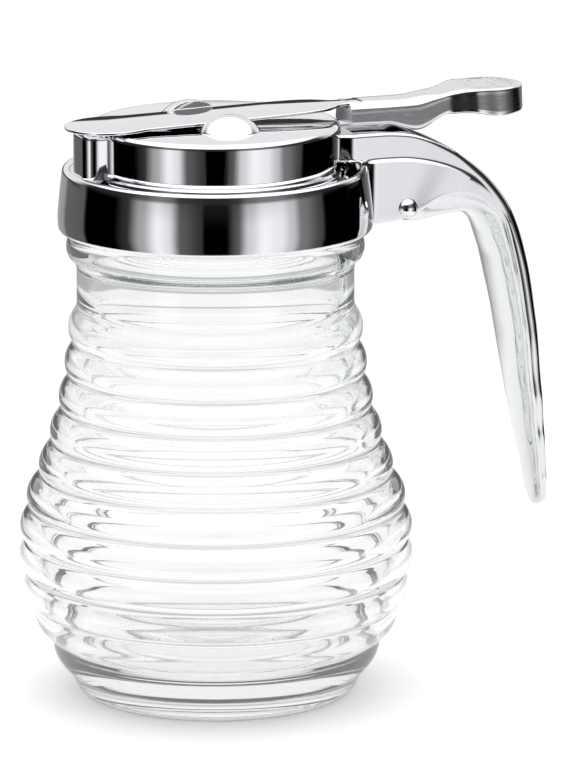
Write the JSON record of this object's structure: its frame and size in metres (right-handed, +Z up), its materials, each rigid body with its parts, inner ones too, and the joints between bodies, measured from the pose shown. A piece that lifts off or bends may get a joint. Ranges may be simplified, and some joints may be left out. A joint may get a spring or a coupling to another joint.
{
  "type": "syrup dispenser",
  "caption": "Clear glass syrup dispenser with a ringed pear-shaped jar, a chrome screw top, a curved side handle and a thumb lever that slides a cover back from the spout.",
  "frame": {"origin": "middle of the jar's flat underside, on the table", "axes": "+Z up along the jar's axis, +X towards the handle, -X towards the pour spout"},
  "size_m": [0.134, 0.096, 0.1451],
  "materials": {
    "glass": "clear, smooth",
    "chrome": "polished",
    "cast": "plated casting, slightly softer shine"
  },
  "bodies": {
    "body": {"jar": "glass", "collar": "chrome", "pour_top": "chrome", "guide_button_front": "chrome", "guide_button_back": "chrome", "handle": "chrome", "handle_pin": "chrome"},
    "gate": {"slide_plate": "chrome", "thumb_lever": "cast"}
  },
  "joints": [
    {"name": "cover_slide", "type": "slide", "parent": "body", "child": "gate", "axis": [1, 0, 0], "range_m": [0, 0.011], "stiffness_N_per_m": 200, "springref_m": -0.008}
  ]
}
